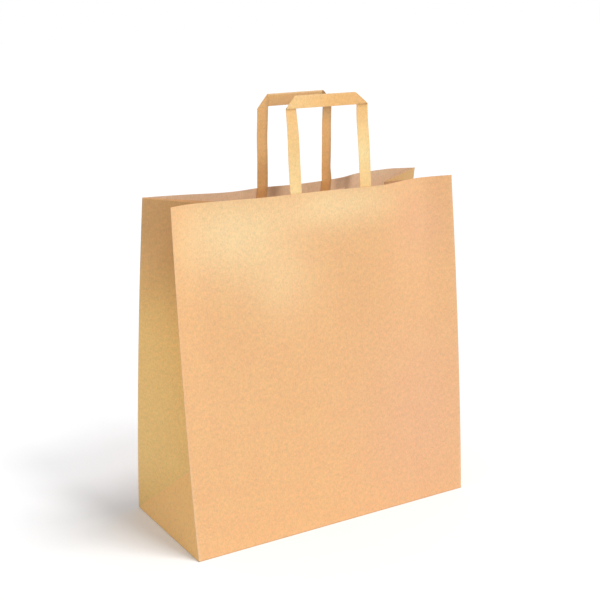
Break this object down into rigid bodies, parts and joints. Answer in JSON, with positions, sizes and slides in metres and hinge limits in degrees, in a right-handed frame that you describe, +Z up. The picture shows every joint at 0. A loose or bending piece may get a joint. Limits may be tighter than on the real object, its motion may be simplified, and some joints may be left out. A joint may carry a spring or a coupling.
{
  "type": "paper carrier bag with flat handles",
  "caption": "Brown kraft paper carrier bag, open, with pleated side gussets, a folded block bottom and flat folded-paper handles glued inside its rims.",
  "frame": {"origin": "centre of the folded block bottom, on its underside, where the bag stands", "axes": "+Z up towards the mouth and handles, +X along the bag's width, -Y towards its front panel"},
  "size_m": [0.3223, 0.14, 0.4341],
  "materials": {
    "kraft_paper": "matt unbleached kraft paper, fine fibres, slightly calendered",
    "handle_paper": "matt kraft paper folded in plies and pressed flat",
    "patch_paper": "matt kraft paper, glued"
  },
  "bodies": {
    "root": {"bag_body": "kraft_paper", "front_handle": "handle_paper", "back_handle": "handle_paper", "front_handle_patch": "patch_paper", "back_handle_patch": "patch_paper"}
  },
  "joints": []
}
